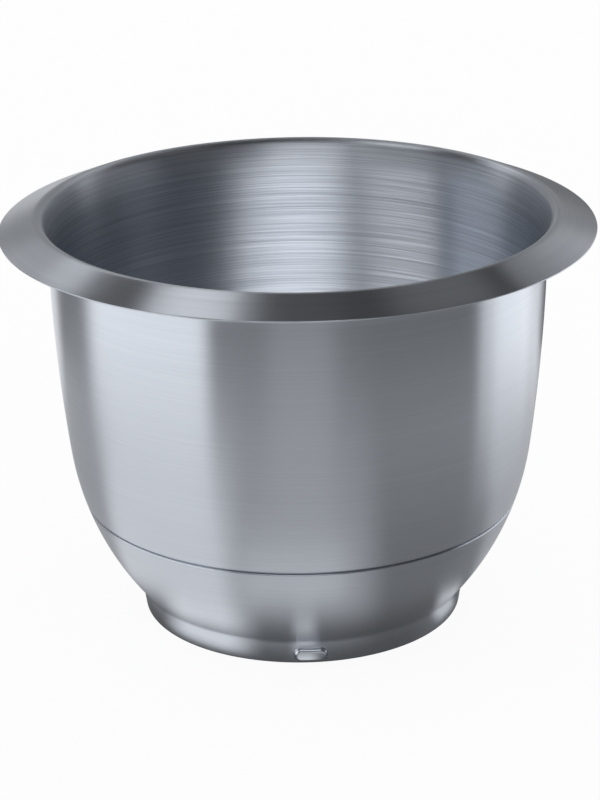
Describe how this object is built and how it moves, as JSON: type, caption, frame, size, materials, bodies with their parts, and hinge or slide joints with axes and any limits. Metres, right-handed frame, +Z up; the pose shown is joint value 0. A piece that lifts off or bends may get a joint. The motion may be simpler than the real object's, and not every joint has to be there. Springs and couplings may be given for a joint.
{
  "type": "stand mixer bowl",
  "caption": "Round brushed steel mixing bowl with a wide sloping brim and a sleeved skirt whose foot band carries bayonet lugs.",
  "frame": {"origin": "centre of the foot's rest ring, on the surface that the bowl stands on", "axes": "+Z up along the bowl's axis, towards the mouth; one bayonet lug faces -Y"},
  "size_m": [0.2358, 0.2358, 0.1675],
  "materials": {
    "bowl_steel": "stainless steel, brushed in rings inside and out",
    "skirt_steel": "stainless steel, brushed in rings, lugs burnished bright"
  },
  "bodies": {
    "root": {"bowl_shell": "bowl_steel", "base_skirt": "skirt_steel"}
  },
  "joints": []
}
